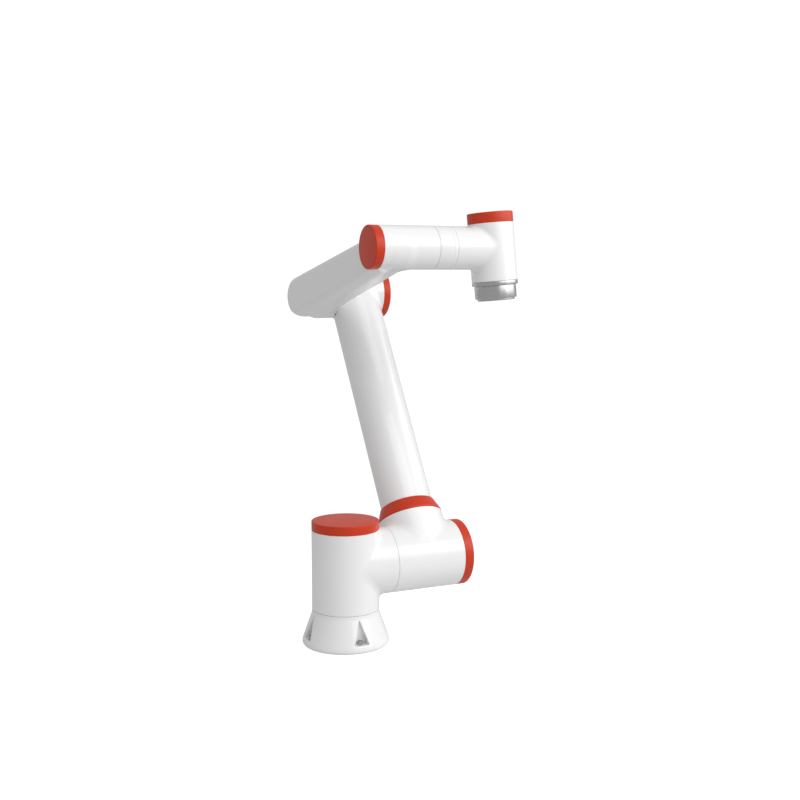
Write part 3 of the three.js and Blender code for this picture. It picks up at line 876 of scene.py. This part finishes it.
cap("forearm_cap_skin", SMALL, SMALL_CAP, FOREARM_CAP_PLACE, "forearm", "forearm_cap")
cap("wrist_cap_skin", WRIST, WRIST_CAP, WRIST_CAP_PLACE, "wrist", "wrist_cap")


def notch_shade_disc(name, radius, thickness, place, towards, body):
    """A small disc of darkened orange, set nearly flush in the part of a cap's edge that faces towards: painted
    shade of a small notch there.
    """
    pin, depth, proud = 1.3 * MM, 3 * MM, 0.05 * MM
    local = place.to_3x3().inverted() @ Vector(towards)
    local.z = 0
    local.normalize()
    at = Matrix.Translation(local * (radius - depth) + Vector((0, 0, thickness - 1.9 * MM)))
    turn = local.to_track_quat("Z", "Y").to_matrix().to_4x4()
    profile = rounded([(0, 0, 0), (pin, 0, 0), (pin, depth + proud, 0.2 * MM), (0, depth + proud, 0)])
    show(turned(name, profile, place @ at @ turn, "pin", 24), body)


# where the painted notch shade sits on each cap's edge
TOP_NOTCH_SHADE_SIDE = -0.95 * ahead - 0.3 * aside
FOREARM_NOTCH_SHADE_SIDE = (0, -0.86, -0.51)
notch_shade_disc("shoulder_top_cap_pin", BIG, TOP_CAP, TOP_CAP_PLACE, TOP_NOTCH_SHADE_SIDE, "shoulder")
notch_shade_disc("forearm_cap_pin", SMALL, SMALL_CAP, FOREARM_CAP_PLACE, FOREARM_NOTCH_SHADE_SIDE, "forearm")


def trim_ring():
    """The tapered orange ring around the foot of the tube."""
    inner = TUBE + GAP
    profile = rounded([
        (inner, RING_START, 0), (BIG, RING_START, 0.8 * MM), (BIG, RING_START + 3 * MM, 1.5 * MM),
        (inner + 2.2 * MM, RING_TOP, 0.8 * MM), (inner, RING_TOP, 0), (inner, RING_START, 0),
    ], 5)
    place = LOWER @ Matrix.Translation((ARM_X, 0, 0))
    return turned("lower_arm_ring_skin", profile, place, "orange", 160)


show(trim_ring(), "lower_arm", "lower_arm_ring")

# ---- wrist band and tool flange ------------------------------------------------------------------

BAND_BOTTOM = -62 * MM
FLANGE_BODY = 35.2 * MM
FLANGE_STEP = -84 * MM
FLANGE_RADIUS = 31.5 * MM
FLANGE_FACE = -87.5 * MM
PILOT = 15.75 * MM
PILOT_DEPTH = 6.5 * MM
BOLT_CIRCLE = 25 * MM            # its radius
HOLE = 3 * MM
PIN_HOLE_ANGLE = 0
SCREW_HOLE_ANGLES = (45, 135, 225, 315)


def wrist_band():
    inner = 30.5 * MM
    top = WRIST_BOTTOM - GAP
    profile = rounded([
        (inner, BAND_BOTTOM, 0), (WRIST, BAND_BOTTOM, 0.8 * MM), (WRIST, top, 0.5 * MM), (inner, top, 0),
        (inner, BAND_BOTTOM, 0),
    ])
    return turned("wrist_band_skin", profile, POST, "silver", 160)


def tool_flange():
    start = BAND_BOTTOM - GAP
    floor_z = FLANGE_FACE + PILOT_DEPTH
    profile = rounded([
        (0, start, 0), (FLANGE_BODY, start, 0.4 * MM), (FLANGE_BODY, FLANGE_STEP, 1.2 * MM),
        (FLANGE_RADIUS, FLANGE_STEP, 0), (FLANGE_RADIUS, FLANGE_FACE, 0.6 * MM),
        (PILOT, FLANGE_FACE, 0.4 * MM), (PILOT, floor_z, 0), (0, floor_z, 0),
    ])
    flange = turned("tool_flange_skin", profile, Matrix.Identity(4), "silver", 160)
    holes = []
    for angle in (PIN_HOLE_ANGLE, *SCREW_HOLE_ANGLES):
        turn = math.radians(angle)
        depth = 6 * MM if angle == PIN_HOLE_ANGLE else 8 * MM
        holes.append((BOLT_CIRCLE * math.cos(turn), BOLT_CIRCLE * math.sin(turn), depth))
    drill(flange, holes)
    flange.data.transform(POST)
    return flange


def drill(flange, holes):
    """Cuts blind 6 mm holes into the flange's face, each with a small chamfer."""
    for x, y, depth in holes:
        edge, out = 0.5 * MM, 1 * MM
        profile = [(0, -out), (HOLE + edge + out, -out), (HOLE, edge), (HOLE, depth - MM), (0, depth)]
        tool = turned("drill", profile, Matrix.Translation((x, y, FLANGE_FACE)), "silver", 40)
        cut = flange.modifiers.new("cut", "BOOLEAN")
        cut.operation = "DIFFERENCE"
        cut.solver = "EXACT"
        cut.object = tool
        bpy.context.view_layer.update()
        seen = flange.evaluated_get(bpy.context.evaluated_depsgraph_get())
        mesh = bpy.data.meshes.new_from_object(seen)
        flange.modifiers.clear()
        flange.data = mesh
        bpy.data.objects.remove(tool)
    flange.data.shade_smooth()
    flange.data.set_sharp_from_angle(angle=math.radians(32))


show(wrist_band(), "wrist", "wrist_band")
show(tool_flange(), "tool_flange", "tool_flange")

# ---- floor and light -----------------------------------------------------------------------------

FLOOR_HALF = 6.0
FLOOR_CLEAR = (0.3, 1.2)    # the floor fades into the white surroundings between these distances


def floor():
    """A plain white studio floor that has no visible edge."""
    bm = bmesh.new()
    around = ((-1, -1), (1, -1), (1, 1), (-1, 1))
    bm.faces.new([bm.verts.new((FLOOR_HALF * x, FLOOR_HALF * y, -0.5 * MM)) for x, y in around])
    mesh = bpy.data.meshes.new("floor")
    bm.to_mesh(mesh)
    bm.free()
    ground = bpy.data.objects.new("floor", mesh)
    m = Nodes("pale_floor")
    m.shader.inputs["Base Color"].default_value = (0.6, 0.6, 0.6, 1)
    m.shader.inputs["Roughness"].default_value = 1.0
    m.shader.inputs["Specular IOR Level"].default_value = 0.0
    m.shader.inputs["Emission Color"].default_value = (1, 1, 1, 1)
    glow = m.add("ShaderNodeMapRange")
    glow.inputs["To Min"].default_value = 0.12
    glow.inputs["To Max"].default_value = 0.8
    m.link(m.add("ShaderNodeLightPath").outputs["Is Camera Ray"], glow.inputs["Value"])
    m.link(glow.outputs["Result"], m.shader.inputs["Emission Strength"])
    away = m.add("ShaderNodeVectorMath", operation="LENGTH")
    m.link(m.place, away.inputs[0])
    fade = m.add("ShaderNodeMapRange", interpolation_type="SMOOTHSTEP")
    fade.inputs["From Min"].default_value = FLOOR_CLEAR[0]
    fade.inputs["From Max"].default_value = FLOOR_CLEAR[1]
    fade.inputs["To Min"].default_value = 1.0
    fade.inputs["To Max"].default_value = 0.0
    m.link(away.outputs["Value"], fade.inputs["Value"])
    m.link(fade.outputs["Result"], m.shader.inputs["Alpha"])
    mesh.materials.append(m.material)
    bpy.context.scene.collection.objects.link(ground)


def lamp(name, turn, height, distance, size, power, aim=(0.08, 0.05, 0.4)):
    """A softbox that faces the arm: turn is measured to the camera's right, around the arm."""
    angle = math.radians(-90 + turn) - VIEW_TURN
    aim = Vector(aim)
    light = bpy.data.lights.new(name, "AREA")
    light.shape = "RECTANGLE"
    light.size, light.size_y = size
    light.energy = power
    holder = bpy.data.objects.new(name, light)
    away = Vector((math.cos(angle), math.sin(angle), 0)) * distance
    holder.location = Vector((aim.x + away.x, aim.y + away.y, height))
    holder.rotation_euler = (aim - holder.location).to_track_quat("-Z", "Y").to_euler()
    bpy.context.scene.collection.objects.link(holder)


def sky():
    """White surroundings to look at, and a softer, even light from them."""
    world = bpy.data.worlds.new("studio")
    bpy.context.scene.world = world
    world.use_nodes = True
    tree = world.node_tree
    seen = tree.nodes.new("ShaderNodeBackground")
    seen.inputs["Color"].default_value = (1, 1, 1, 1)
    seen.inputs["Strength"].default_value = 1.05
    light = tree.nodes["Background"]
    light.inputs["Color"].default_value = (1, 1, 1, 1)
    light.inputs["Strength"].default_value = 0.50
    path = tree.nodes.new("ShaderNodeLightPath")
    mix = tree.nodes.new("ShaderNodeMixShader")
    tree.links.new(path.outputs["Is Camera Ray"], mix.inputs["Fac"])
    tree.links.new(light.outputs["Background"], mix.inputs[1])
    tree.links.new(seen.outputs["Background"], mix.inputs[2])
    tree.links.new(mix.outputs["Shader"], tree.nodes["World Output"].inputs["Surface"])


floor()
sky()
lamp("key", 86, 1.5, 2.6, (3.2, 1.7), 32)
lamp("fill", 48, 1.7, 2.6, (2.6, 1.8), 26)
lamp("top", 25, 2.9, 1.9, (2.6, 1.6), 20)
bpy.context.scene.view_settings.view_transform = "Standard"
